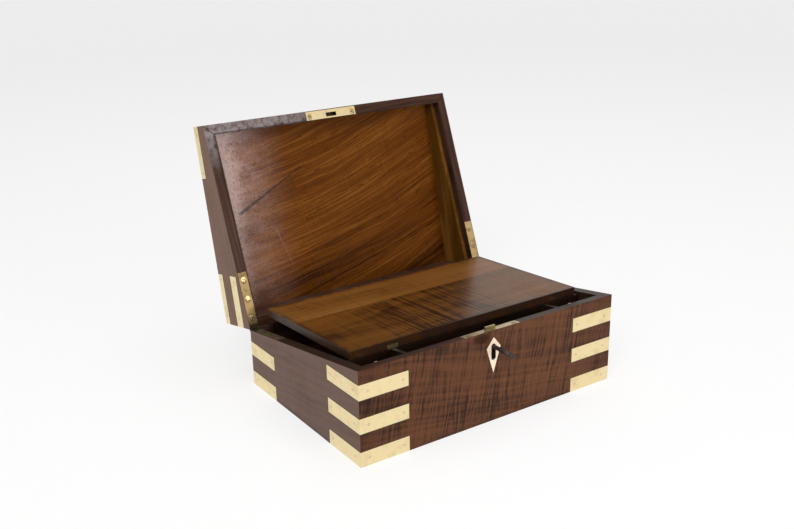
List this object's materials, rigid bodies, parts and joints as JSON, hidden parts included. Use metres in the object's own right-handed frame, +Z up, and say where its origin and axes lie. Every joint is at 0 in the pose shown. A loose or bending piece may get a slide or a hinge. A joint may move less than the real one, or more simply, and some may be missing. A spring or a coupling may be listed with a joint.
{
  "type": "writing box",
  "caption": "Brass-bound wooden writing box parted on a slope: hinged lid, hinged writing flap, pen tray, lidded ink boxes, lock with rising bolt and turning key.",
  "frame": {"origin": "middle of the base's underside", "axes": "+X to the right along the front, +Y to the rear (hinge side), +Z up"},
  "size_m": [0.305, 0.3446, 0.261],
  "materials": {
    "strap_brass": "satin",
    "plate_brass": "satin",
    "screw_brass": "worn",
    "hinge_brass": "satin",
    "bolt_brass": "dull",
    "lock_iron": "dull",
    "key_iron": "dull",
    "bone": "satin",
    "knob_brass": "satin",
    "walnut_carcase": "waxed",
    "walnut_panel": "waxed",
    "plain_wood": "oiled"
  },
  "bodies": {
    "base": {"base_bottom": "plain_wood", "base_front": "walnut_carcase", "base_front_left_strap_1": "strap_brass", "base_front_left_strap_2": "strap_brass", "base_front_left_strap_3": "strap_brass", "base_front_right_strap_1": "strap_brass", "base_front_right_strap_2": "strap_brass", "base_front_right_strap_3": "strap_brass", "base_hinge_leaf_left": "hinge_brass", "base_hinge_leaf_right": "hinge_brass", "base_hinge_screws": "screw_brass", "base_left": "walnut_carcase", "base_rear": "walnut_carcase", "base_rear_left_strap_1": "strap_brass", "base_rear_left_strap_2": "strap_brass", "base_rear_right_strap_1": "strap_brass", "base_rear_right_strap_2": "strap_brass", "base_right": "walnut_carcase", "divider_left": "plain_wood", "divider_right": "plain_wood", "flap_hinge_pins": "hinge_brass", "flap_hinge_rail": "plain_wood", "flap_rail_leaves": "hinge_brass", "hinge_pins": "hinge_brass", "keyhole_escutcheon": "bone", "lock_case": "lock_iron", "lock_selvedge": "plate_brass", "pen_partition": "plain_wood", "pen_row_bearers": "plain_wood", "selvedge_screws": "screw_brass"},
    "lid": {"lid_batten_left": "plain_wood", "lid_batten_right": "plain_wood", "lid_front": "walnut_carcase", "lid_front_left_strap_1": "strap_brass", "lid_front_right_strap_1": "strap_brass", "lid_hinge_leaf_left": "hinge_brass", "lid_hinge_leaf_right": "hinge_brass", "lid_hinge_screws": "screw_brass", "lid_left": "walnut_carcase", "lid_rear": "walnut_carcase", "lid_rear_left_strap_1": "strap_brass", "lid_rear_left_strap_2": "strap_brass", "lid_rear_right_strap_1": "strap_brass", "lid_rear_right_strap_2": "strap_brass", "lid_right": "walnut_carcase", "lid_top": "walnut_panel", "strike_plate": "plate_brass", "strike_screws": "screw_brass"},
    "flap": {"writing_flap": "walnut_panel", "flap_board_leaves": "hinge_brass", "flap_catch": "plate_brass"},
    "key": {"key": "key_iron"},
    "bolt": {"lock_bolt": "bolt_brass"},
    "pen_tray": {"pen_tray": "plain_wood"},
    "left_ink_lid": {"ink_box_lid_left": "plain_wood", "ink_box_knob_left": "knob_brass"},
    "right_ink_lid": {"ink_box_lid_right": "plain_wood", "ink_box_knob_right": "knob_brass"}
  },
  "joints": [
    {"name": "lid_hinge", "type": "hinge", "parent": "base", "child": "lid", "pos_m": [0, 0.1062, 0.06067], "axis": [-1, 0, 0], "range_deg": [-102, 78]},
    {"name": "flap_hinge", "type": "hinge", "parent": "base", "child": "flap", "pos_m": [0, 0.0915, 0.07401], "axis": [-1, 0, 0], "range_deg": [0, 95]},
    {"name": "key_turn", "type": "hinge", "parent": "base", "child": "key", "pos_m": [-0.002, -0.106, 0.0785], "axis": [0, -1, 0], "range_deg": [-57, 0]},
    {"name": "bolt_slide", "type": "slide", "parent": "base", "child": "bolt", "axis": [0, 0, 1], "range_m": [-0.0041, 0]},
    {"name": "tray_lift", "type": "slide", "parent": "base", "child": "pen_tray", "axis": [0, 0, 1], "range_m": [0, 0.045]},
    {"name": "left_lid_lift", "type": "slide", "parent": "base", "child": "left_ink_lid", "axis": [0, 0, 1], "range_m": [0, 0.03]},
    {"name": "right_lid_lift", "type": "slide", "parent": "base", "child": "right_ink_lid", "axis": [0, 0, 1], "range_m": [0, 0.03]}
  ],
  "couplings": [
    {"joint": "bolt_slide", "follows": "key_turn", "m_per_rad": 0.0040208}
  ]
}
